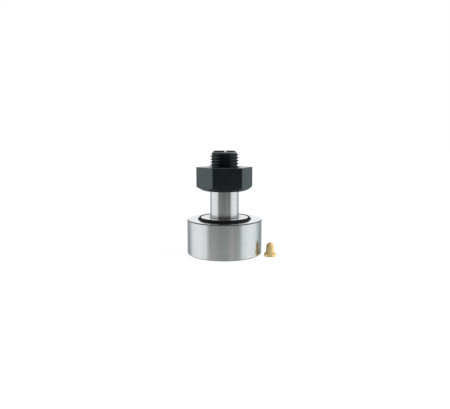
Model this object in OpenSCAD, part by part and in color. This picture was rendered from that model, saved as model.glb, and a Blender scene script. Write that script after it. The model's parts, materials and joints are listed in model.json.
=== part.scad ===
// Stud-type cam follower: a needle-bearing roller on a threaded stud, with its
// hex nut and a loose drive-in grease nipple standing beside it.
// Millimetres. +Z runs along the stud, from the head (z = 0) to the thread's end.

/* [Roller] */
// Outer diameter of the roller
roller_d = 26; // [24:0.5:32]
// Width of the roller
roller_w = 12; // [11:0.5:16]
// Chamfer on the roller's outer edges
roller_edge = 0.3; // [0.1:0.05:0.6]
// Radial width of the seal ring at each end
seal_w = 0.8; // [0.4:0.1:1.2]
// How far the lower seal lies inside the head's face
seal_recess = 0.02; // [0.02:0.02:0.3]
// How far the upper seal's lip stands above the side plate
lip_proud = 0.15; // [0.05:0.05:0.3]
// Height of the seal's lip that runs on the rim
lip_h = 0.6; // [0.3:0.1:1]
// Radial thickness of that lip at its edge
lip_t = 0.1; // [0.05:0.05:0.2]
// How far a seal's outer edge stands out of the roller
seal_proud = 0.05; // [0.02:0.01:0.1]

/* [Stud] */
// Diameter of the plain shank
shank_d = 10; // [8:0.5:12]
// Length of the plain shank above the side plate
shank_l = 9.2; // [6:0.1:16]
// Length of the neck between shank and thread
neck_l = 0.8; // [0.5:0.1:2]
// Thickness of the head
head_t = 2.2; // [1.6:0.1:3]
// How far the head stands out of the roller
head_proud = 0.4; // [0.2:0.1:1]
// Chamfer on the rims of the head and the side plate
rim_edge = 0.3; // [0.1:0.05:0.5]
// Radial step from the shank to the side plate's seat
seat_step = 0.5; // [0.3:0.1:1]
// Radial step from the side plate's seat to the inner raceway
race_step = 0.5; // [0.3:0.1:1]

/* [Side plate] */
// Thickness of the side plate
plate_t = 2.4; // [1.6:0.1:3]
// How far the side plate stands out of the roller
plate_proud = 0.6; // [0.2:0.1:1]

/* [Thread and nut] */
// Thread diameter
thread_d = 10; // [8:0.5:12]
// Thread pitch
thread_pitch = 1; // [0.75:0.25:1.5]
// Length of the thread
thread_l = 13; // [10:0.5:20]
// Chamfer at the thread's end
thread_edge = 1.4; // [0.4:0.1:2]
// Width of the screwdriver slot in the thread's end
slot_w = 0.8; // [0.6:0.1:2]
// Depth of the screwdriver slot
slot_depth = 0.5; // [0.3:0.1:2]
// Turn of the slot about the stud, in degrees
slot_turn = 5; // [-90:1:90]
// Width of the nut across its flats
nut_af = 17; // [15:0.5:22]
// Height of the nut
nut_h = 8; // [5:0.5:12]
// Height of the nut above the shank's end
nut_lift = 0.2; // [0.1:0.1:3]
// Turn of the nut about the stud, in degrees
nut_turn = 6.5; // [0:0.5:60]
// Radial width of the chamfer at the nut's lower corners, inside the flats
nut_edge = 0.9; // [0.3:0.1:1.5]
// Depth of the countersinks in the nut's bore
nut_sink = 0.5; // [0.2:0.1:1]

/* [Needle bearing] */
// Number of needle rollers
needle_n = 15; // [9:1:15]
// Diameter of a needle roller
needle_d = 2; // [1.6:0.1:2.2]
// Chamfer on the needles' ends
needle_edge = 0.15; // [0.05:0.05:0.3]
// Radial thickness of the cage
cage_t = 1.1; // [0.8:0.1:1.3]
// Width of the cage's end rims
cage_rim = 0.6; // [0.4:0.1:1]
// How far the head and the side plate overlap the roller's inner land
rim_lap = 0.42; // [0.3:0.02:0.8]

/* [Grease nipple] */
// Overall height of the nipple
nipple_h = 4.7; // [4:0.1:7]
// Diameter of the nipple's flange
flange_d = 4; // [3.6:0.1:6]
// Thickness of the nipple's flange at its rim
flange_t = 1; // [0.4:0.1:1.4]
// Height of the slope from the flange's rim up to the shank
slope_h = 0.6; // [0.3:0.1:1]
// Diameter of the nipple's shank, and of its press seat in the head
nipple_d = 2.8; // [2.6:0.1:3.2]
// Height of the taper at the nipple's end
taper_h = 1; // [0.6:0.1:1.6]
// Radial depth of that taper
taper_w = 0.36; // [0.1:0.02:0.4]
// Diameter of the rolled lip on the nipple's end
crimp_d = 1.2; // [1.1:0.05:1.5]
// How far that lip stands up
crimp_proud = 0.25; // [0.1:0.05:0.4]
// Diameter of the nipple's valve chamber
chamber_d = 1.4; // [1.2:0.1:1.6]
// Thickness of the web below the lip, which closes the chamber
crimp_t = 0.3; // [0.2:0.05:0.6]
// Diameter of the grease inlet and outlet
port_d = 0.7; // [0.5:0.05:0.8]
// Length of the inlet below the valve seat
inlet_l = 0.7; // [0.4:0.1:1]
// Depth of the funnel in the nipple's foot
funnel_h = 0.45; // [0.2:0.05:0.6]
// Diameter of the valve ball
ball_d = 1.2; // [1:0.05:1.3]
// Wire of the valve spring
spring_wire = 0.16; // [0.1:0.02:0.2]
// Active turns of the valve spring
spring_turns = 3; // [2:1:4]
// Gap between the roller and the standing nipple
nipple_away = 1.15; // [0.5:0.05:6]
// Direction of the standing nipple, in degrees from +X
nipple_angle = -14.5; // [-90:0.5:90]

/* [Grease channel] */
// Diameter of the channel along the stud
channel_d = 2; // [1.4:0.1:2.4]
// Diameter of the cross hole to the raceway
cross_d = 1.5; // [1:0.1:2]
// Spare depth behind the nipple in its seat
seat_room = 0.2; // [0.1:0.1:1]

/* [Clearances] */
// Radial clearance between a needle and each raceway
roll_gap = 0.04; // [0.03:0.01:0.1]
// Axial clearance of the roller and the cage
end_gap = 0.1; // [0.05:0.05:0.2]
// Clearance of a needle in its pocket, on each side
pocket_gap = 0.05; // [0.04:0.01:0.1]
// Clearance between a seal's lip and the rim it runs on
lip_gap = 0.05; // [0.04:0.01:0.1]
// Radial clearance of the nut's bore over the thread
nut_gap = 0.08; // [0.05:0.01:0.2]
// Clearance of the valve ball on its seat and under its spring
ball_gap = 0.02; // [0.01:0.01:0.05]
// Radial clearance of the spring in its chamber
spring_gap = 0.06; // [0.04:0.01:0.1]

/* [Hidden] */
$fn = 96;
// Cuts run past the faces that they open by this much
over = 1;

// Heights along the stud
roller_bottom = head_proud;
roller_top = roller_bottom + roller_w;
shoulder_z = roller_top + plate_proud;
plate_z = shoulder_z - plate_t;
shank_top = shoulder_z + shank_l;
thread_z = shank_top + neck_l;
stud_end = thread_z + thread_l;
nut_z = shank_top + nut_lift;

// Radii from the stud outwards
seat_r = shank_d / 2 + seat_step;
race_r = seat_r + race_step;
pitch_r = race_r + roll_gap + needle_d / 2;
land_r = pitch_r + needle_d / 2 + roll_gap;
rim_r = land_r + rim_lap;
seal_seat_r = rim_r + seal_w;

// The roller's inner land, between the head and the side plate
land_bottom = head_t + end_gap;
land_top = plate_z - end_gap;
bearing_mid = (land_bottom + land_top) / 2;
cage_l = land_top - land_bottom;
pocket_l = cage_l - 2 * cage_rim;
needle_l = pocket_l - 2 * pocket_gap;

// Basic profile of a 60 degree metric thread, as shares of the pitch
thread_depth = 0.6134 * thread_pitch;
root_flat = 0.25;
crest_start = 0.5625;
crest_end = 0.6875;
thread_sides = 24;
// Where the thread begins in its pitch, which turns the helix about the stud
thread_phase = 0.045;
crest_r = thread_d / 2;
root_r = crest_r - thread_depth;
// The neck is this much thinner than the thread's root, in radius
neck_relief = 0.09;
neck_r = root_r - neck_relief;
// The neck runs this far into the thread's core
neck_sink = 0.4;

// The nut
nut_corner_r = nut_af / 2 / cos(30);
nut_bore_r = crest_r + nut_gap;
nut_edge_r = nut_af / 2 - nut_edge;
nut_edge_slope = tan(30);

// The nipple, about its own axis, standing on z = 0
nipple_r = nipple_d / 2;
chamber_r = chamber_d / 2;
port_r = port_d / 2;
funnel_r = port_r + funnel_h;
shoulder_h = nipple_h - crimp_proud;
chamber_top = shoulder_h - crimp_t;
seat_apex = inlet_l - port_r;
ball_z = seat_apex + (ball_d / 2 + ball_gap) * sqrt(2);
spring_r = chamber_r - spring_gap - spring_wire / 2;
ball_reach = ball_d / 2 + spring_wire / 2 + ball_gap;
spring_bottom = ball_z + sqrt(max(ball_reach ^ 2 - spring_r ^ 2, 0)) + ball_gap;
spring_top = chamber_top - spring_wire / 2 - ball_gap;
nipple_reach = roller_d / 2 + nipple_away + flange_d / 2;
nipple_at = [nipple_reach * cos(nipple_angle), nipple_reach * sin(nipple_angle), 0];
nipple_seat_l = nipple_h - flange_t - slope_h + seat_room;

// Finishes
ground_steel = "#c9cdd0";
bright_steel = "#d9dbdc";
black_steel = "#2a2e30";
cage_steel = "#9aa0a2";
seal_black = "#161719";
brass = "#c9a441";

function needle_name(i) = str("needle_", i < 10 ? "0" : "", i);

// A point of the thread's helix: step i round it, corner j of its profile
thread_corners = [
    [root_r, 0], [root_r, root_flat], [crest_r, crest_start], [crest_r, crest_end]
];
function thread_point(i, j, z0) =
    let (turn = i / thread_sides, c = thread_corners[j])
    [c[0] * cos(360 * turn), c[0] * sin(360 * turn), z0 + (turn + c[1]) * thread_pitch];

// Two triangles for the quad a-b-c-d
function halves(a, b, c, d) = [[a, b, c], [a, c, d]];

// A closed right-hand screw of thread, longer than the stud needs by a turn at each end
module thread_helix() {
    n = thread_sides;
    z0 = thread_z - (2 + thread_phase) * thread_pitch;
    steps = n * ceil(thread_l / thread_pitch + 4);
    at = function(i, j) j < 4 ? 4 * i + j : 4 * (i + n);
    foot = 4 * (steps + 1);
    tip = foot + 1;
    points = concat(
        [for (i = [0 : steps], j = [0 : 3]) thread_point(i, j, z0)],
        [[0, 0, z0], [0, 0, z0 + (steps / n + crest_end) * thread_pitch]]
    );
    flanks = [
        for (i = [0 : steps - 1], j = [0 : i < steps - n ? 3 : 2])
            each halves(at(i, j), at(i, j + 1), at(i + 1, j + 1), at(i + 1, j))
    ];
    foot_rim = concat([for (i = [0 : n]) at(i, 0)], [at(0, 3), at(0, 2), at(0, 1), at(0, 0)]);
    tip_rim = concat(
        [for (i = [steps - n : steps]) at(i, 3)],
        [at(steps, 2), at(steps, 1), at(steps, 0), at(steps - n, 3)]
    );
    caps = concat(
        [for (k = [0 : len(foot_rim) - 2]) [foot, foot_rim[k], foot_rim[k + 1]]],
        [for (k = [0 : len(tip_rim) - 2]) [tip, tip_rim[k + 1], tip_rim[k]]]
    );
    polyhedron(points, concat(flanks, caps), convexity = 20);
}

// The threaded end: the helix trimmed to length, chamfered and slotted, as one mesh
module stud_thread() {
    start_r = (neck_r + root_r) / 2;
    tip_r = crest_r - thread_edge;
    resize([0, 0, 0])
    difference() {
        intersection() {
            thread_helix();
            rotate_extrude($fn = 2 * thread_sides)
                polygon([
                    [0, thread_z], [start_r, thread_z],
                    [crest_r + over, thread_z + crest_r + over - start_r],
                    [crest_r + over, stud_end - thread_edge - over], [tip_r, stud_end], [0, stud_end]
                ]);
        }
        rotate([0, 0, slot_turn])
            translate([-slot_w / 2, -thread_d, stud_end - slot_depth])
                cube([slot_w, 2 * thread_d, slot_depth + over]);
    }
}

// Head, inner raceway, plate seat, shank and neck, turned in one piece, with the grease channel
module stud_blank() {
    cross_z = bearing_mid;
    difference() {
        rotate_extrude()
            polygon([
                [0, 0], [rim_r - rim_edge, 0], [rim_r, rim_edge], [rim_r, head_t],
                [race_r, head_t], [race_r, plate_z], [seat_r, plate_z], [seat_r, shoulder_z],
                [shank_d / 2, shoulder_z], [shank_d / 2, shank_top], [neck_r, shank_top],
                [neck_r, thread_z + neck_sink], [0, thread_z + neck_sink]
            ]);
        translate([0, 0, -over])
            cylinder(h = nipple_seat_l + over, r = nipple_r);
        cylinder(h = cross_z + cross_d / 2, d = channel_d);
        translate([0, 0, cross_z])
            rotate([0, 90, 0])
                cylinder(h = race_r + over, d = cross_d);
    }
}

module stud() {
    color(bright_steel) stud_blank();
    color(black_steel) stud_thread();
}

// Washer-shaped plate pressed on the stud's seat, which keeps the roller on
module side_plate() {
    color(bright_steel)
    rotate_extrude()
        polygon([
            [seat_r, plate_z], [rim_r, plate_z], [rim_r, shoulder_z - rim_edge],
            [rim_r - rim_edge, shoulder_z], [seat_r, shoulder_z]
        ]);
}

// Roller with its raceway on the inner land and a seal seat at each end
module outer_ring() {
    r = roller_d / 2;
    color(ground_steel)
    rotate_extrude()
        polygon([
            [seal_seat_r, roller_bottom], [r - roller_edge, roller_bottom],
            [r, roller_bottom + roller_edge], [r, roller_top - roller_edge],
            [r - roller_edge, roller_top], [seal_seat_r, roller_top],
            [seal_seat_r, land_top], [land_r, land_top],
            [land_r, land_bottom], [seal_seat_r, land_bottom]
        ]);
}

// Half section of a seal ring on its land (0): outer edge at height edge_h, sloping up to a lip at height h
module seal_section(edge_h, h) {
    lip_r = rim_r + lip_gap;
    back_r = rim_r + seal_w / 2;
    polygon([
        [back_r, 0], [seal_seat_r, 0], [seal_seat_r, edge_h], [lip_r + lip_t, h],
        [lip_r, h], [lip_r, h - lip_h], [back_r, h - lip_h - seal_w / 2]
    ]);
}

module upper_seal() {
    color(seal_black)
    translate([0, 0, land_top])
        rotate_extrude()
            seal_section(roller_top + seal_proud - land_top, shoulder_z + lip_proud - land_top);
}

module lower_seal() {
    color(seal_black)
    translate([0, 0, land_bottom])
        rotate_extrude()
            mirror([0, 1])
                seal_section(land_bottom - roller_bottom + seal_proud, land_bottom - seal_recess);
}

// Cage: a sleeve with one window for each needle
module cage() {
    color(cage_steel)
    difference() {
        rotate_extrude()
            translate([pitch_r - cage_t / 2, land_bottom])
                square([cage_t, cage_l]);
        for (i = [1 : needle_n])
            at_needle(i)
                translate([-cage_t, -needle_d / 2 - pocket_gap, -pocket_l / 2])
                    cube([2 * cage_t, needle_d + 2 * pocket_gap, pocket_l]);
    }
}

// Moves its children to the middle of needle i
module at_needle(i) {
    rotate([0, 0, 360 * (i - 1) / needle_n])
        translate([pitch_r, 0, bearing_mid])
            children();
}

module needle(i) {
    r = needle_d / 2;
    h = needle_l / 2;
    color(bright_steel)
    at_needle(i)
        rotate_extrude()
            polygon([
                [0, -h], [r - needle_edge, -h], [r, needle_edge - h],
                [r, h - needle_edge], [r - needle_edge, h], [0, h]
            ]);
}

// Hexagon nut: plain bore that clears the thread, chamfered corners below, flat above
module hex_nut() {
    corner_h = (nut_corner_r + over - nut_edge_r) * nut_edge_slope;
    sink_r = nut_bore_r + nut_sink;
    color(black_steel)
    translate([0, 0, nut_z])
        rotate([0, 0, nut_turn])
            difference() {
                intersection() {
                    cylinder(h = nut_h, r = nut_corner_r, $fn = 6);
                    rotate_extrude()
                        polygon([
                            [0, 0], [nut_edge_r, 0], [nut_corner_r + over, corner_h],
                            [nut_corner_r + over, nut_h], [0, nut_h]
                        ]);
                }
                rotate_extrude()
                    polygon([
                        [0, 0], [sink_r, 0], [nut_bore_r, nut_sink],
                        [nut_bore_r, nut_h - nut_sink], [sink_r, nut_h], [0, nut_h]
                    ]);
            }
}

// Nipple body: sloped flange, shank and tapered end round a ball-valve chamber
module nipple_body() {
    color(brass)
    translate(nipple_at)
        difference() {
            rotate_extrude()
                polygon([
                    [0, 0], [flange_d / 2, 0], [flange_d / 2, flange_t], [nipple_r, flange_t + slope_h],
                    [nipple_r, shoulder_h - taper_h], [nipple_r - taper_w, shoulder_h],
                    [crimp_d / 2, shoulder_h], [crimp_d / 2, nipple_h], [0, nipple_h]
                ]);
            rotate_extrude()
                polygon([
                    [0, 0], [funnel_r, 0], [port_r, funnel_h], [port_r, inlet_l],
                    [chamber_r, inlet_l + chamber_r - port_r], [chamber_r, chamber_top],
                    [port_r, chamber_top], [port_r, nipple_h], [0, nipple_h]
                ]);
        }
}

module nipple_ball() {
    color(bright_steel)
    translate(nipple_at + [0, 0, ball_z])
        sphere(d = ball_d);
}

// Centre line of the valve spring after s turns
function spring_point(s) = [
    spring_r * cos(360 * s), spring_r * sin(360 * s),
    spring_bottom + (spring_top - spring_bottom) * s / spring_turns
];
spring_steps = 8;
spring_sides = 6;
spring_rings = spring_steps * spring_turns;
spring_line = [for (i = [0 : spring_rings]) spring_point(i / spring_steps)];
// Least free gap between turns of the spring, over point pairs half a turn or more apart
spring_self_gap = min([
    for (i = [0 : spring_rings], j = [0 : spring_rings])
        if (j - i >= spring_steps / 2) norm(spring_line[j] - spring_line[i]) - spring_wire
]);
echo(spring_self_gap = spring_self_gap);

// Compression spring that holds the ball on its seat, one tube along the helix
module nipple_spring() {
    n = spring_sides;
    rise = (spring_top - spring_bottom) / spring_turns;
    lean = atan(rise / (2 * PI * spring_r));
    rings = [
        for (i = [0 : spring_rings], k = [0 : n - 1])
            let (
                a = 360 * i / spring_steps,
                b = 360 * k / n,
                out = [cos(a), sin(a), 0],
                up = [sin(a) * sin(lean), -cos(a) * sin(lean), cos(lean)]
            )
            spring_line[i] + spring_wire / 2 * (cos(b) * out + sin(b) * up)
    ];
    sides = [
        for (i = [0 : spring_rings - 1], k = [0 : n - 1])
            let (m = (k + 1) % n)
            each halves(i * n + k, (i + 1) * n + k, (i + 1) * n + m, i * n + m)
    ];
    last = spring_rings * n;
    ends = [
        for (k = [1 : n - 2]) each [[0, k, k + 1], [last, last + k + 1, last + k]]
    ];
    color(ground_steel)
    translate(nipple_at)
        polyhedron(rings, concat(sides, ends), convexity = 10);
}

stud();
side_plate();
outer_ring();
upper_seal();
lower_seal();
cage();
for (i = [1 : needle_n])
    needle(i);
hex_nut();
nipple_body();
nipple_ball();
nipple_spring();
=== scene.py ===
"""Looks of a stud-type cam follower: ground steel roller and stud, black nut and thread, brass nipple.

A turned piece is a profile carried round an axis. A row of its grid is one point of the profile and a
column one angle, so the shape is two arrays, radius and height, worked out with numpy. The valve spring
is a circle carried along a helix. The slot, the cross hole and the cage's windows are cut out by prisms.
"""
import json
import math

import bpy
import numpy as np
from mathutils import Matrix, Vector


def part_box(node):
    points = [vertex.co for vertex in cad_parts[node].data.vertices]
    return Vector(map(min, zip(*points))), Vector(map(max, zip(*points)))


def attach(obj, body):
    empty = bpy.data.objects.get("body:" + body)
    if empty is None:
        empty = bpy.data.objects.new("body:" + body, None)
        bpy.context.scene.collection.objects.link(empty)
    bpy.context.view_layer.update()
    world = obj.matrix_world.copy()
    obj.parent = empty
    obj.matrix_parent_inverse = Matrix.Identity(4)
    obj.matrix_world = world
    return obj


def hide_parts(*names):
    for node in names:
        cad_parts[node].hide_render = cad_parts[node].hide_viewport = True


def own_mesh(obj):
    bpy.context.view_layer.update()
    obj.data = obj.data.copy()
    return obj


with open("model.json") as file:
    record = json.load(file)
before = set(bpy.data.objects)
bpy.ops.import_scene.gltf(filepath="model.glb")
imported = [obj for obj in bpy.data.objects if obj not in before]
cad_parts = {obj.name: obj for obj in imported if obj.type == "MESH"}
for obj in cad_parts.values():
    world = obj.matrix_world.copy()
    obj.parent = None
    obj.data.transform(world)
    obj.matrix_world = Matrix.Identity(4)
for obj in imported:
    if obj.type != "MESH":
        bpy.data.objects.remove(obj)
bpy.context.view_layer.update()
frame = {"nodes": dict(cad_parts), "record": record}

MM = 0.001


# Sizes that the CAD nodes and the record give, in metres

needles = sorted(node for node in frame["nodes"] if node.startswith("needle_"))
mounts = {mount["name"]: mount for mount in frame["record"]["mounts"]}


def corners_of(node):
    """The lowest and the highest corner of a CAD node's box, as two rows of (x, y, z)."""
    return np.array(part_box(node))


def mount_size(name, dimension):
    """A dimension of a mount, which the record gives in millimetres."""
    return mounts[name]["dims"][dimension] * MM


plate_low, plate_high = corners_of("side_plate")
ring_low, ring_high = corners_of("outer_ring")
seal_low, seal_high = corners_of("upper_seal")
foot_seal_low, foot_seal_high = corners_of("lower_seal")
nut_low, nut_high = corners_of("hex_nut")
nipple_low, nipple_high = corners_of("nipple_body")
spring_low, spring_high = corners_of("nipple_spring")
ball_low, ball_high = corners_of("nipple_ball")
needle_low, needle_high = corners_of(needles[0])
cage_low, cage_high = corners_of("cage")

# Clearances between pieces
ROLL_GAP = 0.04 * MM
END_GAP = 0.1 * MM
LIP_GAP = 0.05 * MM
POCKET_GAP = 0.05 * MM

# Radii, heights and places worked out from the boxes and mounts
roller_r = ring_high[0]
rim_r = plate_high[0]
seal_r = seal_high[0]
needle_r = (needle_high[0] - needle_low[0]) / 2
pitch_r = (needle_high[0] + needle_low[0]) / 2
race_r = needle_low[0] - ROLL_GAP
land_r = needle_high[0] + ROLL_GAP
land_bottom = foot_seal_high[2]
land_top = seal_low[2]
head_t = land_bottom - END_GAP
shank_r = mount_size("shank", "r_mm")
shank_top = mounts["shank"]["pos_m"][2] + mount_size("shank", "length_mm") / 2
stud_end = corners_of("stud")[1, 2]
thread_start = stud_end - mount_size("stud_thread", "length_mm")
seat_hole_r = mount_size("nipple_seat", "r_mm")
seat_hole_l = mount_size("nipple_seat", "length_mm")
nipple_axis = ((nipple_low + nipple_high) / 2)[:2]
nipple_foot = (*nipple_axis, 0)

# Details that the boxes don't give

# Stud: plate seat, neck, thread, end slot and grease channel
PLATE_SEAT_R = 5.5 * MM
NECK_R = 4.3 * MM
NECK_TAPER_H = 0.35 * MM
STUD_EASE = 0.06 * MM
PITCH = 1.0 * MM
THREAD_DEPTH = 0.6134 * PITCH
THREAD_PHASE = 0.045
THREAD_EDGE = 1.4 * MM
LEAD_IN = 0.04 * MM
END_EASE = 0.08 * MM
SLOT_W = 0.8 * MM
SLOT_DEPTH = 0.5 * MM
SLOT_TURN = math.radians(5)
CHANNEL_R = 1.0 * MM
CROSS_R = 0.75 * MM
CHANNEL_SPARE = 0.04 * MM

# The thread's flat root, its crest and each flank as shares of the pitch, and how much it is rounded
ROOT_SHARE = 0.25
CREST_SHARE = 0.125
FLANK_SHARE = (1 - ROOT_SHARE - CREST_SHARE) / 2
THREAD_ROUNDING = 0.35

# Roller, side plate and seals
ROLLER_EDGE = 0.3 * MM
RIM_EDGE = 0.3 * MM
RIM_EASE = 0.07 * MM
LIP_H = 0.6 * MM
LIP_T = 0.1 * MM
SEAL_PROUD = 0.05 * MM
SEAL_EASE = 0.04 * MM

# Needles and cage
NEEDLE_EDGE = 0.15 * MM
NEEDLE_EASE = 0.2 * MM
CAGE_T = 1.1 * MM
CAGE_EASE = 0.08 * MM
POCKET_ROUND = 0.25 * MM

# Nut
NUT_AF = 17.0 * MM
NUT_TURN = math.radians(6.5)
NUT_EDGE = 0.9 * MM
NUT_EDGE_SLOPE = math.tan(math.radians(30))
NUT_CORNER_CUT = 0.06 * MM
NUT_CORNER_BLEND = 0.05 * MM
NUT_BORE_R = 5.08 * MM
NUT_SINK = 0.5 * MM

# Nipple, with its valve spring
FLANGE_T = 1.0 * MM
SLOPE_H = 0.6 * MM
NIPPLE_R = 1.4 * MM
TAPER_H = 1.0 * MM
TAPER_W = 0.36 * MM
CRIMP_R = 0.6 * MM
CRIMP_PROUD = 0.25 * MM
CRIMP_T = 0.3 * MM
CHAMBER_R = 0.7 * MM
PORT_R = 0.35 * MM
INLET_L = 0.7 * MM
FUNNEL_H = 0.45 * MM
SPRING_WIRE = 0.16 * MM
SPRING_TURNS = 3


# Shapes

# Points along an eased corner
EASE_STEPS = 5
# The most of the shorter run beside a corner that its easing may take
CUT_LIMIT = 0.4
# How far the support points lie off the arc, as a share of its cut and at most of the shorter run
PAD_SHARE = 0.5
PAD_LIMIT = 0.05
# A cutter reaches this far past the surface that it cuts
OVERCUT = 1.0 * MM
# Edges that turn more than this stay sharp on pieces that were cut
CREASE = math.radians(32)


def softened(corners, radii, closed=False):
    """The profile of corners, an array (corner, column, 2), with each corner P eased to an arc.

    The two straight runs are cut back by radius * tan(turn / 2), to the offsets A and B from P, and the
    points P + (1 - s)^2 A + s^2 B join them for s from 0 to 1. A support point lies just before and
    after, so that smooth shading stays flat on the straight runs. The ends of an open profile stay sharp.
    """
    corners = np.asarray(corners, float)
    count = len(corners)
    radii = np.asarray(radii, float)
    if radii.ndim == 1:
        radii = radii[:, None]
    radii = np.broadcast_to(radii, corners.shape[:2])
    s = np.linspace(0, 1, EASE_STEPS)[:, None, None]
    rows = []
    for i, corner in enumerate(corners):
        if not closed and i in (0, count - 1):
            rows.append(corner[None])
            continue
        back = corners[i - 1] - corner
        ahead = corners[(i + 1) % count] - corner
        back_l = np.linalg.norm(back, axis=1, keepdims=True)
        ahead_l = np.linalg.norm(ahead, axis=1, keepdims=True)
        back = back / back_l
        ahead = ahead / ahead_l
        turn = math.pi - np.arccos(np.clip((back * ahead).sum(axis=1, keepdims=True), -1, 1))
        shorter = np.minimum(back_l, ahead_l)
        cut = np.minimum(radii[i][:, None] * np.tan(turn / 2), CUT_LIMIT * shorter)
        pad = np.minimum(PAD_SHARE * cut, PAD_LIMIT * shorter)
        arc = corner + (1 - s) ** 2 * back * cut + s ** 2 * ahead * cut
        rows += [(corner + back * (cut + pad))[None], arc, (corner + ahead * (cut + pad))[None]]
    return np.concatenate(rows)


def angles_round(count, start=0.0):
    """Angles evenly round a full turn, the first of them that share of a step past zero."""
    return (np.arange(count) + start) * 2 * math.pi / count


def mesh_object(name, points, faces):
    """An object at the origin whose mesh holds those points and faces, smooth shaded."""
    mesh = bpy.data.meshes.new(name)
    mesh.from_pydata(points.tolist(), [], faces)
    mesh.polygons.foreach_set("use_smooth", np.ones(len(mesh.polygons), bool))
    mesh.update()
    obj = bpy.data.objects.new(name, mesh)
    bpy.context.scene.collection.objects.link(obj)
    return obj


def carried_round(name, profile, cols, axis=(0.0, 0.0), closed=False):
    """The surface (R cos t + ax, R sin t + ay, Z) for a profile array (row, column, (R, Z)).

    Rows run along the profile with the solid on its left hand and columns run round. An open
    profile begins and ends on the axis, where its row shrinks to one pole.
    """
    profile = np.broadcast_to(profile, (len(profile), cols, 2))
    t = angles_round(cols)
    r = profile[..., 0]
    grid = np.stack([axis[0] + r * np.cos(t), axis[1] + r * np.sin(t), profile[..., 1]], axis=2)
    if not closed:
        grid = grid[1:-1]
    rows = len(grid)
    row = np.arange(rows if closed else rows - 1)[:, None] * cols
    above = (row + cols) % (rows * cols)
    col = np.arange(cols)
    beside = (col + 1) % cols
    quads = np.stack([row + col, row + beside, above + beside, above + col], axis=2)
    points = grid.reshape(-1, 3)
    faces = quads.reshape(-1, 4).tolist()
    if not closed:
        pole = len(points)
        last = (rows - 1) * cols
        points = np.vstack([points, [[*axis, profile[0, 0, 1]], [*axis, profile[-1, 0, 1]]]])
        faces += np.stack([np.full(cols, pole), beside, col], axis=1).tolist()
        faces += np.stack([np.full(cols, pole + 1), last + col, last + beside], axis=1).tolist()
    return mesh_object(name, points, faces)


def turned(name, corners, radii, cols=256, axis=(0.0, 0.0)):
    """A turned ring: the closed, eased profile of (radius, height) corners carried round the axis."""
    profile = softened(np.asarray(corners, float)[:, None], radii, closed=True)
    return carried_round(name, profile, cols, axis, closed=True)


def cut_away(obj, cutter):
    """Subtracts the cutter from obj by an exact boolean, then deletes the cutter."""
    cut = obj.modifiers.new("cut", "BOOLEAN")
    cut.operation = "DIFFERENCE"
    cut.solver = "EXACT"
    cut.object = cutter
    bpy.context.view_layer.update()
    graph = bpy.context.evaluated_depsgraph_get()
    mesh = bpy.data.meshes.new_from_object(obj.evaluated_get(graph))
    obj.modifiers.clear()
    old = obj.data
    obj.data = mesh
    bpy.data.meshes.remove(old)
    mesh.name = obj.name
    bpy.data.objects.remove(cutter)


def prism(ring, reach):
    """A closed cutter: a flat ring of points carried along reach.

    The ring runs counter-clockwise, seen from the far end.
    """
    count = len(ring)
    near = np.arange(count)
    beside = (near + 1) % count
    sides = np.stack([near, beside, beside + count, near + count], axis=1).tolist()
    ends = [near[::-1].tolist(), (near + count).tolist()]
    return mesh_object("cutter", np.concatenate([ring, ring + reach]), sides + ends)


def slot_cutter():
    """The screwdriver slot: a rectangle turned by an angle a about the stud's axis and carried upwards.

    The turn is x' = x cos a - y sin a, y' = x sin a + y cos a.
    """
    x = np.array([-1, 1, 1, -1]) * SLOT_W / 2
    y = np.array([-1, -1, 1, 1]) * 2 * shank_r
    c = math.cos(SLOT_TURN)
    s = math.sin(SLOT_TURN)
    ring = np.stack([x * c - y * s, x * s + y * c, np.full(4, stud_end - SLOT_DEPTH)], axis=1)
    return prism(ring, (0, 0, SLOT_DEPTH + OVERCUT))


def cross_hole_cutter(height):
    """The grease cross hole: a round bar from the stud's axis out along +X.

    Its ring is (0, R cos t, height + R sin t). It starts half a step on, so that no point of it lies at
    y = 0, where the stud's grid has a column.
    """
    t = angles_round(48, 0.5)
    ring = np.stack([0 * t, CROSS_R * np.cos(t), height + CROSS_R * np.sin(t)], axis=1)
    return prism(ring, (race_r + OVERCUT, 0, 0))


def pocket_cutter(angle):
    """A needle's window: a bar with round corners, from inside the cage out through it at that angle.

    Round the window, sideways = sign(cos t) (half width - R) + R cos t, and upwards alike with sin t.
    """
    t = angles_round(32, 0.5)
    half_w = needle_r + POCKET_GAP - POCKET_ROUND
    half_l = (needle_high[2] - needle_low[2]) / 2 + POCKET_GAP - POCKET_ROUND
    sideways = np.sign(np.cos(t)) * half_w + POCKET_ROUND * np.cos(t)
    upwards = np.sign(np.sin(t)) * half_l + POCKET_ROUND * np.sin(t)
    out = np.array([math.cos(angle), math.sin(angle), 0])
    across = np.array([-math.sin(angle), math.cos(angle), 0])
    middle = (pitch_r - CAGE_T) * out + [0, 0, (needle_low[2] + needle_high[2]) / 2]
    ring = middle + sideways[:, None] * across + upwards[:, None] * [0, 0, 1]
    return prism(ring, 2 * CAGE_T * out)


# Pieces

def make_roller():
    """The roller: rim, chamfers and end faces, with the raceway and both seal seats inside."""
    low = ring_low[2]
    high = ring_high[2]
    face_r = roller_r - ROLLER_EDGE
    corners = [
        (seal_r, low), (face_r, low), (roller_r, low + ROLLER_EDGE), (roller_r, high - ROLLER_EDGE),
        (face_r, high), (seal_r, high), (seal_r, land_top), (land_r, land_top),
        (land_r, land_bottom), (seal_r, land_bottom),
    ]
    easing = np.array([0.06, 0.1, 0.12, 0.12, 0.1, 0.06, 0.05, 0.1, 0.1, 0.05]) * MM
    return turned("roller", corners, easing, cols=320)


def make_plate():
    """The side plate with its chamfered rim."""
    low = plate_low[2]
    high = plate_high[2]
    corners = [
        (PLATE_SEAT_R, low), (rim_r, low), (rim_r, high - RIM_EDGE), (rim_r - RIM_EDGE, high),
        (PLATE_SEAT_R, high),
    ]
    return turned("plate", corners, RIM_EASE)


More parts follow.
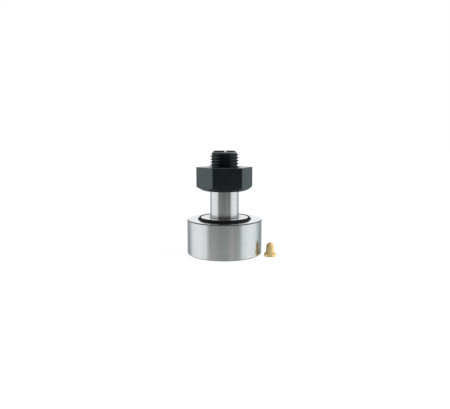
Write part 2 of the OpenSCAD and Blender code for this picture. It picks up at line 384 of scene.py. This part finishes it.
def make_seal(name, foot, edge, lip):
    """A seal ring: its foot on the roller's land, its outer edge by the roller's face, and its lip."""
    up = math.copysign(1, lip - foot)
    lip_r = rim_r + LIP_GAP
    back_r = (rim_r + seal_r) / 2
    corners = [
        (back_r, foot), (seal_r, foot), (seal_r, edge), (lip_r + LIP_T, lip), (lip_r, lip),
        (lip_r, lip - up * LIP_H), (back_r, lip - up * (LIP_H + back_r - rim_r)),
    ]
    if up < 0:
        corners.reverse()
    return turned(name, corners, SEAL_EASE)


def thread_radius(t, z):
    """Radius of the thread at angle t and height z.

    The place in the pitch is f = frac((z - z0) / pitch + phase - t / 2 pi). A trapezoid wave of f gives
    the 60 degree flanks between a flat root and a flat crest, and a share of a smooth step rounds its
    corners.
    """
    f = np.mod((z - thread_start) / PITCH + THREAD_PHASE - t / (2 * math.pi), 1)
    h = np.clip(np.minimum((f - ROOT_SHARE) / FLANK_SHARE, (1 - f) / FLANK_SHARE), 0, 1)
    h = (1 - THREAD_ROUNDING) * h + THREAD_ROUNDING * h * h * (3 - 2 * h)
    return shank_r - THREAD_DEPTH * (1 - h)


def make_stud():
    """The stud: head, raceway, shank and neck turned, then the thread as rows of its own radius.

    In the thread a row's radius is the least of the thread's, the lead-in's and the end chamfer's.
    """
    cols = 192
    rows_per_mm = 24
    middle = (land_bottom + land_top) / 2
    channel_end = middle + CROSS_R + CHANNEL_SPARE
    plate_bottom = plate_low[2]
    plate_top = plate_high[2]
    corners = np.array([
        (0, channel_end), (CHANNEL_R, channel_end), (CHANNEL_R, seat_hole_l),
        (seat_hole_r, seat_hole_l), (seat_hole_r, 0), (rim_r - RIM_EDGE, 0), (rim_r, RIM_EDGE),
        (rim_r, head_t), (race_r, head_t), (race_r, plate_bottom), (PLATE_SEAT_R, plate_bottom),
        (PLATE_SEAT_R, plate_top), (shank_r, plate_top), (shank_r, shank_top),
        (NECK_R, shank_top + NECK_TAPER_H), (NECK_R, thread_start),
    ])
    blank = np.repeat(softened(corners[:, None], STUD_EASE), cols, axis=1)
    rows = int((stud_end - thread_start) / MM * rows_per_mm) + 1
    t = angles_round(cols)
    z = np.linspace(thread_start, stud_end, rows)[:, None]
    lead_in = NECK_R + LEAD_IN + (z - thread_start)
    tip_r = shank_r - THREAD_EDGE
    r = np.minimum(np.minimum(thread_radius(t, z), lead_in), tip_r + (stud_end - z))
    thread = np.stack([r, np.broadcast_to(z, r.shape)], axis=2)
    face = np.array([(tip_r - END_EASE, stud_end), (tip_r / 2, stud_end), (0, stud_end)])[:, None]
    profile = np.concatenate([blank, thread, np.repeat(face, cols, axis=1)])
    stud = carried_round("stud_turned", profile, cols)
    cut_away(stud, slot_cutter())
    cut_away(stud, cross_hole_cutter(middle))
    stud.data.set_sharp_from_angle(angle=CREASE)
    return stud


def make_needle(node):
    """A needle roller: a bar with rounded ends, carried round its own axis."""
    low, high = corners_of(node)
    flat_r = needle_r - NEEDLE_EDGE
    corners = np.array([
        (0, low[2]), (flat_r, low[2]), (needle_r, low[2] + NEEDLE_EDGE),
        (needle_r, high[2] - NEEDLE_EDGE), (flat_r, high[2]), (0, high[2]),
    ])
    name = node.replace("needle", "needle_roller")
    profile = softened(corners[:, None], NEEDLE_EASE)
    return carried_round(name, profile, cols=96, axis=((low + high) / 2)[:2])


def make_cage():
    """The cage: a turned sleeve with a round-cornered window for each needle."""
    low = cage_low[2]
    high = cage_high[2]
    inner = pitch_r - CAGE_T / 2
    outer = pitch_r + CAGE_T / 2
    corners = [(inner, low), (outer, low), (outer, high), (inner, high)]
    cage = turned("needle_cage", corners, CAGE_EASE, cols=240)
    for angle in angles_round(len(needles)):
        cut_away(cage, pocket_cutter(angle))
    cage.data.set_sharp_from_angle(angle=CREASE)
    return cage


def make_nut():
    """The hexagon nut: its side lies at half the width / cos(angle from the middle of the flat).

    The upright edges are eased by a smooth least of that and a circle just inside the corners. The
    lower chamfer is a 30 degree cone that cuts each flat in an arc, eased most at the corners.
    """
    cols = 432
    low = nut_low[2]
    high = nut_high[2]
    half = NUT_AF / 2
    corner_r = half / math.cos(math.pi / 6)
    t = angles_round(cols)
    flat = half / np.cos(np.mod(t - NUT_TURN, math.pi / 3) - math.pi / 6)
    circle = corner_r - NUT_CORNER_CUT
    share = np.clip(0.5 + 0.5 * (circle - flat) / NUT_CORNER_BLEND, 0, 1)
    side = circle + (flat - circle) * share - NUT_CORNER_BLEND * share * (1 - share)
    cone_r = half - NUT_EDGE
    sink_r = NUT_BORE_R + NUT_SINK
    corners = [
        (NUT_BORE_R, low + NUT_SINK), (sink_r, low), (cone_r, low),
        (side, low + (side - cone_r) * NUT_EDGE_SLOPE),
        (side, high), (sink_r, high), (NUT_BORE_R, high - NUT_SINK),
    ]
    cornering = (side - half) / (corner_r - half)
    easing = [0.03, 0.05, 0.1, 0.12 + 0.4 * cornering ** 2, 0.09, 0.05, 0.03]
    grid = np.array([np.broadcast_arrays(r, z, t)[:2] for r, z in corners]).transpose(0, 2, 1)
    easing = np.array([np.broadcast_to(r, cols) for r in easing]) * MM
    return carried_round("nut", softened(grid, easing, closed=True), cols, closed=True)


def make_nipple():
    """The grease nipple: flange, slope, shank and taper outside, funnel, port and chamber inside."""
    top = nipple_high[2]
    shoulder = top - CRIMP_PROUD
    web = shoulder - CRIMP_T
    flange_r = (nipple_high[0] - nipple_low[0]) / 2
    corners = [
        (PORT_R, FUNNEL_H), (PORT_R + FUNNEL_H, 0), (flange_r, 0), (flange_r, FLANGE_T),
        (NIPPLE_R, FLANGE_T + SLOPE_H), (NIPPLE_R, shoulder - TAPER_H), (NIPPLE_R - TAPER_W, shoulder),
        (CRIMP_R, shoulder), (CRIMP_R, top), (PORT_R, top), (PORT_R, web), (CHAMBER_R, web),
        (CHAMBER_R, INLET_L + CHAMBER_R - PORT_R), (PORT_R, INLET_L),
    ]
    easing = [0.05, 0.05, 0.15, 0.15, 0.3, 0.3, 0.2, 0.06, 0.1, 0.05, 0.04, 0.04, 0.05, 0.04]
    return turned("nipple", corners, np.array(easing) * MM, cols=160, axis=nipple_axis)


def make_ball():
    """The valve ball: a half circle carried round the nipple's axis.

    From its lowest point, after the angle a, the half circle is R sin a out and -R cos a up.
    """
    r = (ball_high[2] - ball_low[2]) / 2
    rows = 41
    a = np.linspace(0, math.pi, rows)
    profile = np.stack([r * np.sin(a), (ball_low[2] + ball_high[2]) / 2 - r * np.cos(a)], axis=1)
    return carried_round("ball", profile[:, None], cols=80, axis=nipple_axis)


def make_spring():
    """The valve spring: a circle across the wire carried along a helix round the nipple's axis.

    After the angle a the wire's centre is at coil_r * out, out = (cos a, sin a, 0), and has risen by an
    even share of the height. The circle's two directions are out and out x along the wire.
    """
    sides = 12
    steps_per_turn = 40
    a = np.linspace(0, 2 * math.pi * SPRING_TURNS, steps_per_turn * SPRING_TURNS + 1)
    b = angles_round(sides)
    wire_r = SPRING_WIRE / 2
    coil_r = (spring_high[0] - spring_low[0]) / 2 - wire_r
    low = spring_low[2] + wire_r
    rise = (spring_high[2] - wire_r - low) / a[-1]
    out = np.stack([np.cos(a), np.sin(a), np.zeros_like(a)], axis=1)
    along = np.stack([-coil_r * np.sin(a), coil_r * np.cos(a), np.full_like(a, rise)], axis=1)
    across = np.cross(out, along / np.linalg.norm(along, axis=1, keepdims=True))
    line = coil_r * out + [*nipple_axis, low] + rise * a[:, None] * [0, 0, 1]
    circle = np.cos(b)[:, None] * out[:, None] + np.sin(b)[:, None] * across[:, None]
    points = (line[:, None] + wire_r * circle).reshape(-1, 3)
    row = np.arange(len(a) - 1)[:, None] * sides
    above = row + sides
    col = np.arange(sides)
    beside = (col + 1) % sides
    quads = np.stack([row + col, above + col, above + beside, row + beside], axis=2)
    ends = [col.tolist(), (len(points) - 1 - col).tolist()]
    return mesh_object("spring", points, quads.reshape(-1, 4).tolist() + ends)


# Materials

# The span that a noise's values mostly lie in
NOISE_SPAN = (0.25, 0.75)
# Depth of the turning lines, of an oxide skin's grain and of the rubber's
LINE_DEPTH = 0.002 * MM
OXIDE_DEPTH = 0.004 * MM
RUBBER_DEPTH = 0.003 * MM
# Scale of the broad bands as a share of the fine lines', and of the grain as a share of the blotches'
BAND_SHARE = 0.16
GRAIN_SHARE = 40.0
# Turn of the gloss that lays its spread across the lay, as a share of a full turn
ACROSS_LAY = 0.25


def new_group(name, inputs, outputs):
    """An empty shader node group with those sockets: (name, kind, default) and (name, kind)."""
    group = bpy.data.node_groups.new(name, "ShaderNodeTree")
    for label, kind, default in inputs:
        socket = group.interface.new_socket(label, in_out="INPUT", socket_type=kind)
        socket.default_value = default
    for label, kind in outputs:
        group.interface.new_socket(label, in_out="OUTPUT", socket_type=kind)
    return group, group.nodes.new("NodeGroupInput"), group.nodes.new("NodeGroupOutput")


def add(tree, kind, links=(), **settings):
    """A node of that kind, with attributes set by name, inputs set by index or name, and links made."""
    node = tree.nodes.new(kind)
    for key, value in settings.items():
        setattr(node, key, value)
    for socket, value in dict(links).items():
        if isinstance(value, bpy.types.NodeSocket):
            tree.links.new(value, node.inputs[socket])
        else:
            node.inputs[socket].default_value = value
    return node


def maths(tree, operation, a, b=None, c=None):
    """The output of a Math node on sockets or numbers."""
    links = {i: v for i, v in enumerate((a, b, c)) if v is not None}
    return add(tree, "ShaderNodeMath", links, operation=operation).outputs[0]


def spread(tree, value, low, high, span=NOISE_SPAN, smooth=False):
    """Maps a value from that span to low at its start and high at its end."""
    node = add(tree, "ShaderNodeMapRange", {0: value, 1: span[0], 2: span[1], 3: low, 4: high})
    if smooth:
        node.interpolation_type = "SMOOTHSTEP"
    return node.outputs[0]


def rising(tree, value, span, smooth=False):
    """A mask that goes from 0 to 1 while the value goes through that span."""
    return spread(tree, value, 0, 1, span, smooth)


def mixed(tree, factor, a, b):
    """A colour between a and b, given as sockets or (r, g, b)."""
    sides = {6: a, 7: b}
    links = {i: v if isinstance(v, bpy.types.NodeSocket) else (*v, 1) for i, v in sides.items()}
    return add(tree, "ShaderNodeMix", {0: factor, **links}, data_type="RGBA").outputs[2]


def mixed_value(tree, factor, a, b):
    """A number between a and b."""
    return add(tree, "ShaderNodeMix", {0: factor, 2: a, 3: b}, data_type="FLOAT").outputs[0]


def turning_lines_group():
    """Fine lines that run round an axis, as grinding and turning leave them, with the place on the piece.

    With r the distance from the axis, the lines are noise of (r, z) at the fine scale, changed only
    slowly along the way round by x and y at the coarse scale. The bands are alike, but broader.
    """
    group, gin, gout = new_group(
        "turning_lines",
        [("Axis", "NodeSocketVector", (0, 0, 0)), ("Fine", "NodeSocketFloat", 9000.0),
         ("Round", "NodeSocketFloat", 90.0)],
        [(label, "NodeSocketFloat") for label in ("Lines", "Bands", "Radius", "Height")],
    )
    coord = add(group, "ShaderNodeTexCoord")
    local = add(group, "ShaderNodeVectorMath", {0: coord.outputs["Object"], 1: gin.outputs["Axis"]},
                operation="SUBTRACT")
    x, y, z = add(group, "ShaderNodeSeparateXYZ", {0: local.outputs[0]}).outputs
    flat = add(group, "ShaderNodeCombineXYZ", {0: x, 1: y})
    r = add(group, "ShaderNodeVectorMath", {0: flat.outputs[0]}, operation="LENGTH").outputs["Value"]
    for label, share in (("Lines", 1.0), ("Bands", BAND_SHARE)):
        scale = maths(group, "MULTIPLY", gin.outputs["Fine"], share)
        where = add(group, "ShaderNodeCombineXYZ", {
            0: maths(group, "MULTIPLY", r, scale),
            1: maths(group, "MULTIPLY", z, scale),
            2: maths(group, "MULTIPLY", x, gin.outputs["Round"]),
        })
        noise = add(group, "ShaderNodeTexNoise", {
            "Vector": where.outputs[0], "W": maths(group, "MULTIPLY", y, gin.outputs["Round"]),
            "Scale": 1.0, "Detail": 3.0, "Roughness": 0.6,
        }, noise_dimensions="4D")
        group.links.new(noise.outputs[0], gout.inputs[label])
    group.links.new(r, gout.inputs["Radius"])
    group.links.new(z, gout.inputs["Height"])
    return group


def smudge_group():
    """Soft blotches of handling, oil and oxide, and a fine grain, as noise of the place on the piece."""
    group, gin, gout = new_group(
        "smudges",
        [("Scale", "NodeSocketFloat", 180.0), ("Contrast", "NodeSocketFloat", 2.0)],
        [("Mask", "NodeSocketFloat"), ("Grain", "NodeSocketFloat")],
    )
    coord = add(group, "ShaderNodeTexCoord")
    blotch = add(group, "ShaderNodeTexNoise", {
        "Vector": coord.outputs["Object"], "Scale": gin.outputs["Scale"],
        "Detail": 5.0, "Roughness": 0.55,
    })
    centred = maths(group, "SUBTRACT", blotch.outputs[0], 0.5)
    mask = maths(group, "MULTIPLY_ADD", centred, gin.outputs["Contrast"], 0.5)
    clamp = add(group, "ShaderNodeClamp", {0: mask})
    grain = add(group, "ShaderNodeTexNoise", {
        "Vector": coord.outputs["Object"],
        "Scale": maths(group, "MULTIPLY", gin.outputs["Scale"], GRAIN_SHARE), "Detail": 2.0,
    })
    group.links.new(clamp.outputs[0], gout.inputs["Mask"])
    group.links.new(grain.outputs[0], gout.inputs["Grain"])
    return group


TURNING = turning_lines_group()
SMUDGES = smudge_group()


def new_material(name):
    """A material with a Principled shader: the material, its tree and the shader."""
    material = bpy.data.materials.new(name)
    material.use_nodes = True
    tree = material.node_tree
    return material, tree, tree.nodes["Principled BSDF"]


def use_group(tree, group, **values):
    """The outputs of a group placed in a material, with its inputs set by name."""
    node = add(tree, "ShaderNodeGroup", node_tree=group)
    for key, value in values.items():
        node.inputs[key].default_value = value
    return node.outputs


def feed(tree, shader, sockets):
    """Links sockets to the shader's inputs of those names."""
    for name, socket in sockets.items():
        tree.links.new(socket, shader.inputs[name])


def bump(tree, shader, height, distance, strength):
    """A bump of that height field on the shader's normal."""
    node = add(tree, "ShaderNodeBump", {"Height": height, "Strength": strength, "Distance": distance})
    feed(tree, shader, {"Normal": node.outputs[0]})


def finish_lay(tree, shader, anisotropy, metallic=1.0):
    """Metal whose lay runs round Z, so that its gloss spreads across the lay."""
    shader.inputs["Metallic"].default_value = metallic
    shader.inputs["Anisotropic"].default_value = anisotropy
    shader.inputs["Anisotropic Rotation"].default_value = ACROSS_LAY
    tangent = add(tree, "ShaderNodeTangent", direction_type="RADIAL", axis="Z")
    feed(tree, shader, {"Tangent": tangent.outputs[0]})


def banded(tree, lines, dark, light):
    """A colour that goes between dark and light with the broad turning bands."""
    return mixed(tree, spread(tree, lines["Bands"], 0, 1), dark, light)


def handled(tree, rough):
    """That roughness with soft marks of handling, some smoother and some duller."""
    marks = use_group(tree, SMUDGES, Scale=260.0, Contrast=1.6)
    return maths(tree, "ADD", rough, spread(tree, marks["Mask"], -0.015, 0.02, (0, 1)))


def oxide_skin(tree, dark, light):
    """Colour, roughness and grain sockets of a thin black oxide coat over steel."""
    marks = use_group(tree, SMUDGES, Scale=420.0, Contrast=1.8)
    colour = mixed(tree, marks["Mask"], dark, light)
    broad = spread(tree, marks["Mask"], 0.19, 0.25, (0, 1))
    rough = maths(tree, "ADD", broad, spread(tree, marks["Grain"], -0.03, 0.03))
    return colour, rough, marks["Grain"]


def turned_metal(name, dark, light, rough, fine, axis=(0, 0, 0), anisotropy=0.7, metallic=1.0):
    """Metal with turning or grinding lines in its colour, roughness and surface."""
    material, tree, shader = new_material(name)
    lines = use_group(tree, TURNING, Axis=axis, Fine=fine)
    feed(tree, shader, {
        "Base Color": banded(tree, lines, dark, light),
        "Roughness": handled(tree, spread(tree, lines["Lines"], *rough)),
    })
    finish_lay(tree, shader, anisotropy, metallic)
    bump(tree, shader, lines["Lines"], LINE_DEPTH, strength=0.12)
    return material


def roller_finish(name):
    """Ground steel: a satin rim, smoother and paler end faces, and darker chamfers left unground."""
    material, tree, shader = new_material(name)
    lines = use_group(tree, TURNING, Fine=11000.0)
    face_r = roller_r - ROLLER_EDGE
    face_end = (face_r - 0.03 * MM, face_r + 0.03 * MM)
    rim_start = (roller_r - 0.06 * MM, roller_r - 0.02 * MM)
    beyond_face = rising(tree, lines["Radius"], face_end)
    rim = rising(tree, lines["Radius"], rim_start)
    face_colour = (0.72, 0.735, 0.76)
    chamfer_colour = (0.265, 0.278, 0.27)
    rim_colour = banded(tree, lines, (0.635, 0.645, 0.645), (0.69, 0.7, 0.7))
    outer_colour = mixed(tree, rim, chamfer_colour, rim_colour)
    face_rough = spread(tree, lines["Lines"], 0.08, 0.14)
    rim_rough = spread(tree, lines["Lines"], 0.16, 0.24)
    feed(tree, shader, {
        "Base Color": mixed(tree, beyond_face, face_colour, outer_colour),
        "Roughness": handled(tree, mixed_value(tree, rim, face_rough, rim_rough)),
    })
    finish_lay(tree, shader, anisotropy=0.75)
    bump(tree, shader, lines["Lines"], LINE_DEPTH, strength=0.1)
    return material


def plate_finish(name):
    """Turned steel with a near-black chamfer and rim."""
    material, tree, shader = new_material(name)
    lines = use_group(tree, TURNING, Fine=8000.0)
    face_r = rim_r - RIM_EDGE
    rim_start = (face_r - 0.06 * MM, face_r + 0.04 * MM)
    rim = rising(tree, lines["Radius"], rim_start)
    face_colour = banded(tree, lines, (0.6, 0.61, 0.61), (0.66, 0.67, 0.67))
    rim_colour = (0.06, 0.065, 0.07)
    face_rough = spread(tree, lines["Lines"], 0.07, 0.13)
    rim_rough = 0.3
    feed(tree, shader, {
        "Base Color": mixed(tree, rim, face_colour, rim_colour),
        "Roughness": mixed_value(tree, rim, face_rough, rim_rough),
    })
    finish_lay(tree, shader, anisotropy=0.7)
    bump(tree, shader, lines["Lines"], LINE_DEPTH, strength=0.12)
    return material


def nut_finish(name):
    """Black oxide on steel, dark and slightly blue with a soft sheen, with a painted highlight at its top.
    """
    material, tree, shader = new_material(name)
    black, rough, grain = oxide_skin(tree, (0.058, 0.07, 0.073), (0.074, 0.088, 0.092))
    lines = use_group(tree, TURNING, Fine=6000.0)
    top = nut_high[2]
    # Painted highlight: a paler, matt band round the nut's top face and edge.
    highlight_start = (top - 0.25 * MM, top - 0.08 * MM)
    upper = rising(tree, lines["Height"], highlight_start)
    painted_highlight = maths(tree, "MULTIPLY", upper, spread(tree, lines["Bands"], 0.35, 0.55))
    highlight_colour = (0.085, 0.095, 0.098)
    feed(tree, shader, {
        "Base Color": mixed(tree, painted_highlight, black, highlight_colour),
        "Roughness": rough,
        "Metallic": maths(tree, "SUBTRACT", 1.0, painted_highlight),
    })
    bump(tree, shader, grain, OXIDE_DEPTH, strength=0.2)
    return material


def stud_finish(name):
    """Ground bright steel with painted shade at the shank's foot, and black oxide from the neck upwards.

    A matt grey ring round the end's chamfer is a painted highlight.
    """
    material, tree, shader = new_material(name)
    lines = use_group(tree, TURNING, Fine=12000.0)
    height = lines["Height"]
    bright = banded(tree, lines, (0.665, 0.67, 0.67), (0.72, 0.725, 0.725))
    bright_rough = spread(tree, lines["Lines"], 0.12, 0.17)
    black, black_rough, grain = oxide_skin(tree, (0.044, 0.054, 0.058), (0.064, 0.077, 0.082))
    # Painted shade: the shank's foot is darkened, fading out between 0.1 and 0.6 mm above the plate.
    foot = plate_high[2]
    foot_shade_start = (plate_low[2], foot)
    foot_shade_end = (foot + 0.1 * MM, foot + 0.6 * MM)
    fading = spread(tree, height, 0.45, 0, foot_shade_end, smooth=True)
    foot_shade = maths(tree, "MULTIPLY", fading, rising(tree, height, foot_shade_start))
    oxide_start = (shank_top - 0.05 * MM, shank_top + 0.2 * MM)
    # The black oxide from the neck upwards, together with the painted shade at the foot.
    oxide_and_foot_shade = maths(tree, "MAXIMUM", rising(tree, height, oxide_start), foot_shade)
    # Painted highlight: a paler, matt ring round the end's chamfer.
    highlight_start = (stud_end - 0.9 * MM, stud_end - 0.75 * MM)
    highlight_end = (stud_end - 0.5 * MM, stud_end - 0.35 * MM)
    painted_highlight = maths(
        tree, "MULTIPLY", spread(tree, height, 0, 0.9, highlight_start), spread(tree, height, 1, 0, highlight_end),
    )
    highlight_colour = (0.17, 0.18, 0.18)
    finish_lay(tree, shader, anisotropy=0.9)
    feed(tree, shader, {
        "Base Color": mixed(tree, painted_highlight, mixed(tree, oxide_and_foot_shade, bright, black), highlight_colour),
        "Roughness": mixed_value(tree, oxide_and_foot_shade, bright_rough, black_rough),
        "Metallic": maths(tree, "SUBTRACT", 1.0, painted_highlight),
    })
    bump(tree, shader, maths(tree, "ADD", lines["Lines"], grain), LINE_DEPTH, strength=0.1)
    return material


def seal_rubber(name):
    """Moulded black rubber with a faint satin bloom."""
    material, tree, shader = new_material(name)
    marks = use_group(tree, SMUDGES, Scale=600.0, Contrast=1.5)
    feed(tree, shader, {
        "Base Color": mixed(tree, marks["Mask"], (0.003, 0.003, 0.004), (0.007, 0.007, 0.008)),
        "Roughness": spread(tree, marks["Grain"], 0.42, 0.56),
    })
    shader.inputs["Specular IOR Level"].default_value = 0.2
    bump(tree, shader, marks["Grain"], RUBBER_DEPTH, strength=0.3)
    return material


ROLLER_STEEL = roller_finish("ground_roller_steel")
PLATE_STEEL = plate_finish("turned_plate_steel")
STUD_STEEL = stud_finish("stud_bright_and_black")
NUT_STEEL = nut_finish("black_oxide_nut")
SEAL_RUBBER = seal_rubber("seal_black_rubber")
BRASS = turned_metal(
    "turned_brass", dark=(0.9, 0.65, 0.28), light=(0.96, 0.72, 0.35), rough=(0.3, 0.38),
    fine=7000.0, axis=nipple_foot, anisotropy=0.2, metallic=0.55,
)
NEEDLE_STEEL = turned_metal(
    "lapped_needle_steel", dark=(0.7, 0.71, 0.72), light=(0.78, 0.785, 0.79), rough=(0.06, 0.12),
    fine=9000.0,
)
CAGE_STEEL = turned_metal(
    "pressed_cage_steel", dark=(0.42, 0.43, 0.43), light=(0.52, 0.53, 0.53), rough=(0.3, 0.42),
    fine=5000.0,
)
SPRING_STEEL = turned_metal(
    "drawn_spring_steel", dark=(0.4, 0.4, 0.41), light=(0.5, 0.5, 0.51), rough=(0.22, 0.34),
    fine=6000.0, axis=nipple_foot,
)


# The pieces in their places

def place(obj, material, body, node):
    """Gives a piece its finish and its body, and hides the CAD node that it stands for."""
    obj.data.materials.append(material)
    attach(obj, body)
    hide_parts(node)


place(make_roller(), ROLLER_STEEL, "roller", "outer_ring")
place(make_plate(), PLATE_STEEL, "stud", "side_plate")
seal_top = make_seal("seal_top", land_top, ring_high[2] + SEAL_PROUD, seal_high[2])
seal_foot = make_seal("seal_foot", land_bottom, ring_low[2] - SEAL_PROUD, foot_seal_low[2])
place(seal_top, SEAL_RUBBER, "roller", "upper_seal")
place(seal_foot, SEAL_RUBBER, "roller", "lower_seal")
place(make_stud(), STUD_STEEL, "stud", "stud")
place(make_nut(), NUT_STEEL, "nut", "hex_nut")
place(make_nipple(), BRASS, "nipple", "nipple_body")
spring = make_spring()
place(spring, SPRING_STEEL, "nipple", "nipple_spring")
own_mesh(spring)
place(make_ball(), NEEDLE_STEEL, "nipple_valve", "nipple_ball")
place(make_cage(), CAGE_STEEL, "cage", "cage")
for needle in needles:
    place(make_needle(needle), NEEDLE_STEEL, needle, needle)


# Stage: a pale floor, a soft studio round the object, and the camera

# Brightness of the studio by the angle from the viewer's side, in degrees, below the horizon and above
LOW_STOPS = [
    (-180, (0.7, 0.73, 0.76)), (-158, (0.42, 0.45, 0.47)), (-138, (0.25, 0.27, 0.29)),
    (-114, (0.9, 0.94, 0.96)), (-86, (1.14, 1.18, 1.2)), (-58, (1.0, 1.04, 1.06)),
    (-47, (0.6, 0.63, 0.63)), (-32, (0.6, 0.6, 0.57)), (-14, (0.45, 0.49, 0.48)),
    (6, (0.45, 0.49, 0.49)), (24, (0.68, 0.67, 0.64)), (32, (0.52, 0.55, 0.55)),
    (46, (0.58, 0.63, 0.63)), (58, (0.94, 1.0, 1.02)), (84, (1.14, 1.18, 1.2)),
    (116, (0.8, 0.86, 0.9)), (136, (0.22, 0.24, 0.26)), (158, (0.42, 0.45, 0.48)),
    (180, (0.7, 0.73, 0.76)),
]
HIGH_STOPS = [
    (-165, (0.65, 0.67, 0.7)), (-150, (0.34, 0.36, 0.38)), (-128, (0.66, 0.7, 0.72)),
    (-110, (1.08, 1.1, 1.12)), (-58, (0.88, 0.9, 0.91)),
    (-47, (0.13, 0.13, 0.13)), (-25, (0.11, 0.11, 0.11)), (25, (0.11, 0.11, 0.11)),
    (46, (0.13, 0.13, 0.13)), (58, (0.88, 0.9, 0.91)), (106, (1.08, 1.1, 1.12)),
    (120, (0.6, 0.68, 0.71)), (136, (0.58, 0.68, 0.72)), (150, (0.34, 0.36, 0.38)),
    (165, (0.65, 0.67, 0.7)),
]
ABOVE = (0.36, 0.36, 0.37)
OVERHEAD = (0.2, 0.2, 0.2)
UNDERNEATH = (0.45, 0.45, 0.45)
WHITE = (1, 1, 1)

# Heights of a direction, from -1 straight down to 1 straight up, where one tone gives way to the next
UNDERNEATH_TO_LOW = (-0.6, -0.4)
LOW_TO_HIGH = (-0.27, -0.09)
HIGH_TO_ABOVE = (0.24, 0.42)
ABOVE_TO_OVERHEAD = (0.58, 0.76)
# Angles from the viewer's side, either way round, between which the white backdrop begins
BACKDROP_EDGE = (math.radians(165), math.radians(176))

# The floor's size and place, the grey that takes the shadow, the glow that makes it white to the camera,
# and the grey that it has to other light
FLOOR_HALF_W = 2.0
FLOOR_DROP = 0.02 * MM
FLOOR_SHADE = (0.2, 0.2, 0.2)
FLOOR_GLOW = 0.93
FLOOR_PLAIN = (0.8, 0.8, 0.8)

# Width of a lamp as the object sees it, which softens its shadows
LAMP_W = math.radians(30)

# The camera's place and tilt, and its focal length in pixels for a picture IMAGE_W pixels wide
CAMERA_AT = (0.17 * MM, -152.87 * MM, 38.09 * MM)
CAMERA_PITCH = math.radians(-7.727)
FOCAL_PX = 443.14
IMAGE_W = 450


def azimuth_ramp(tree, share, stops):
    """A colour ramp over the full turn with those (degrees, colour) stops."""
    node = add(tree, "ShaderNodeValToRGB", {0: share})
    node.color_ramp.interpolation = "LINEAR"
    elements = node.color_ramp.elements
    while len(elements) < len(stops):
        elements.new(0.5)
    for element, (degrees, colour) in zip(elements, stops):
        element.position = (degrees + 180) / 360
        element.color = (*colour, 1)
    return node.outputs[0]


def make_world():
    """White where the camera looks past the object, and a soft studio for everything else.

    The angle from the viewer's side, atan2(x, -y), picks a colour on each ramp, and the height z of the
    direction blends the low ramp into the high one and both into the tones overhead and underneath.
    Mirrors show the white backdrop too, where it stands upright behind the object.
    """
    world = bpy.data.worlds.new("studio_world")
    bpy.context.scene.world = world
    world.use_nodes = True
    tree = world.node_tree
    coord = add(tree, "ShaderNodeTexCoord")
    x, y, z = add(tree, "ShaderNodeSeparateXYZ", {0: coord.outputs["Generated"]}).outputs
    angle = maths(tree, "ARCTAN2", x, maths(tree, "MULTIPLY", y, -1.0))
    share = maths(tree, "MULTIPLY_ADD", angle, 0.5 / math.pi, 0.5)
    low = azimuth_ramp(tree, share, LOW_STOPS)
    high = azimuth_ramp(tree, share, HIGH_STOPS)
    path = add(tree, "ShaderNodeLightPath")
    mirrored = maths(tree, "ADD", path.outputs["Is Glossy Ray"], path.outputs["Is Transmission Ray"])
    behind = rising(tree, maths(tree, "ABSOLUTE", angle), BACKDROP_EDGE)
    high = mixed(tree, maths(tree, "MULTIPLY", mirrored, behind), high, WHITE)
    studio = mixed(tree, rising(tree, z, LOW_TO_HIGH, smooth=True), low, high)
    studio = mixed(tree, rising(tree, z, HIGH_TO_ABOVE, smooth=True), studio, ABOVE)
    studio = mixed(tree, rising(tree, z, ABOVE_TO_OVERHEAD, smooth=True), studio, OVERHEAD)
    studio = mixed(tree, spread(tree, z, 1, 0, UNDERNEATH_TO_LOW, smooth=True), studio, UNDERNEATH)
    seen = mixed(tree, path.outputs["Is Camera Ray"], studio, WHITE)
    back = tree.nodes["Background"]
    tree.links.new(seen, back.inputs["Color"])
    back.inputs["Strength"].default_value = 1.0


def make_floor():
    """A pale floor: white with a faint shadow to the camera, plain to other light, and in no mirror."""
    x = np.array([-1, 1, 1, -1]) * FLOOR_HALF_W
    y = np.array([-1, -1, 1, 1]) * FLOOR_HALF_W
    floor = mesh_object("floor", np.stack([x, y, np.full(4, -FLOOR_DROP)], axis=1), [[0, 1, 2, 3]])
    material = bpy.data.materials.new("pale_floor")
    material.use_nodes = True
    tree = material.node_tree
    tree.nodes.clear()
    out = add(tree, "ShaderNodeOutputMaterial")
    shade = add(tree, "ShaderNodeBsdfDiffuse", {"Color": (*FLOOR_SHADE, 1)})
    glow = add(tree, "ShaderNodeEmission", {"Color": (*WHITE, 1), "Strength": FLOOR_GLOW})
    seen = add(tree, "ShaderNodeAddShader", {0: shade.outputs[0], 1: glow.outputs[0]})
    plain = add(tree, "ShaderNodeBsdfDiffuse", {"Color": (*FLOOR_PLAIN, 1)})
    path = add(tree, "ShaderNodeLightPath")
    either = add(tree, "ShaderNodeMixShader", {
        0: path.outputs["Is Camera Ray"], 1: plain.outputs[0], 2: seen.outputs[0],
    })
    tree.links.new(either.outputs[0], out.inputs[0])
    floor.data.materials.append(material)
    floor.visible_glossy = False


def make_lamp(name, source, strength):
    """A soft sun that shines from the source's direction and shows in no mirror."""
    data = bpy.data.lights.new(name, "SUN")
    data.energy = strength
    data.angle = LAMP_W
    lamp = bpy.data.objects.new(name, data)
    bpy.context.scene.collection.objects.link(lamp)
    x, y, z = source
    lamp.rotation_euler = (math.atan2(math.hypot(x, y), z), 0, math.atan2(x, -y))
    lamp.visible_glossy = False


def make_camera():
    """The camera at the photograph's place, looking along +Y and a little down."""
    data = bpy.data.cameras.new("camera")
    data.sensor_width = 36.0
    data.lens = FOCAL_PX / IMAGE_W * data.sensor_width
    data.clip_start = 1.0 * MM
    camera = bpy.data.objects.new("camera", data)
    camera.location = CAMERA_AT
    camera.rotation_euler = (math.pi / 2 + CAMERA_PITCH, 0, 0)
    bpy.context.scene.collection.objects.link(camera)
    bpy.context.scene.camera = camera


make_world()
make_floor()
make_lamp("key", source=(0.35, -0.12, 0.3), strength=3.3)
make_lamp("fill", source=(-0.25, -0.2, 0.4), strength=0.15)
make_camera()
bpy.context.scene.view_settings.view_transform = "Standard"
